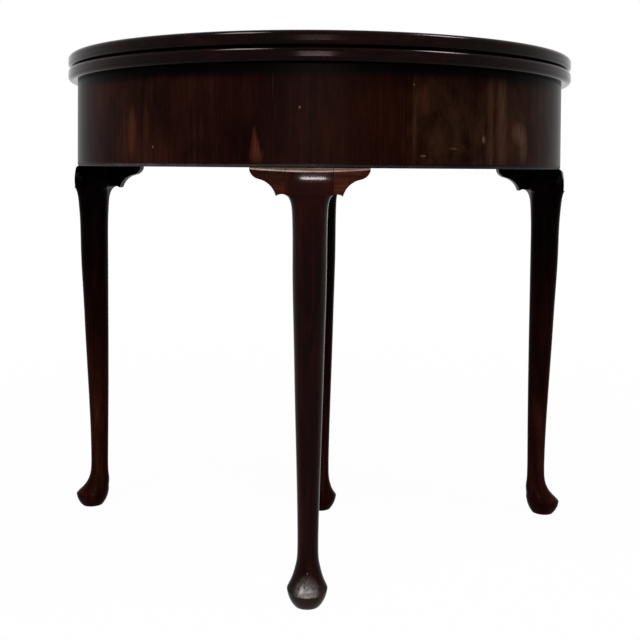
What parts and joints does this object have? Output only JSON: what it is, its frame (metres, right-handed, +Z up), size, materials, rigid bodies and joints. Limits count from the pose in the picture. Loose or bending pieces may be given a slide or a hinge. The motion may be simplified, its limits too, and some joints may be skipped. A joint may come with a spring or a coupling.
{
  "type": "folding card table",
  "caption": "Half-round fold-over card table: a hinged top leaf opens onto a swinging gate leg; shaped ears and turned pad-foot legs under a curved veneered frieze.",
  "frame": {"origin": "On the floor under the middle of the closed table's outline, so the straight back edge of the leaves is at +0.2035 m and the round front reaches -0.2035 m.", "axes": "+X to the right for a person facing the round front, +Y toward the straight back (the wall side), +Z up."},
  "size_m": [0.814, 0.407, 0.735],
  "materials": {
    "mahogany": "polished",
    "veneer": "polished",
    "oak": "planed, unpolished",
    "pine": "sawn, unpolished",
    "brass": "aged",
    "iron": "dark"
  },
  "bodies": {
    "frame": {"back_ear_left": "mahogany", "back_ear_right": "mahogany", "frieze_bead_left": "mahogany", "frieze_bead_right": "mahogany", "frieze_core_left": "pine", "frieze_core_right": "pine", "frieze_veneer_left": "veneer", "frieze_veneer_right": "veneer", "front_ear_left": "mahogany", "front_ear_right": "mahogany", "front_leg": "mahogany", "gate_pin": "iron", "glue_blocks": "pine", "hinge_rail": "oak", "inner_back_rail": "oak", "left_leg": "mahogany", "lower_hinge_pins": "brass", "lower_hinge_screws": "brass", "lower_hinge_strap_left": "brass", "lower_hinge_strap_right": "brass", "lower_leaf": "mahogany", "medial_rail": "oak", "rail_pegs": "oak", "rail_screws": "iron", "right_leg": "mahogany", "side_ear_left": "mahogany", "side_ear_right": "mahogany", "top_screws": "iron"},
    "hinge_links": {"hinge_link_left": "brass", "hinge_link_right": "brass"},
    "folding_leaf": {"top_leaf": "mahogany", "upper_hinge_strap_left": "brass", "upper_hinge_strap_right": "brass", "upper_hinge_pins": "brass", "upper_hinge_screws": "brass"},
    "gate": {"fly_rail": "oak", "gate_leg": "mahogany", "gate_pegs": "oak"}
  },
  "joints": [
    {"name": "link_turn", "type": "hinge", "parent": "frame", "child": "hinge_links", "pos_m": [0, 0.2, 0.7112], "axis": [-1, 0, 0], "range_deg": [0, 90]},
    {"name": "leaf_turn", "type": "hinge", "parent": "hinge_links", "child": "folding_leaf", "pos_m": [0, 0.2, 0.7185], "axis": [-1, 0, 0], "range_deg": [0, 90]},
    {"name": "gate_turn", "type": "hinge", "parent": "frame", "child": "gate", "pos_m": [-0.25, 0.1885, 0.6287], "axis": [0, 0, 1], "range_deg": [0, 90]}
  ]
}
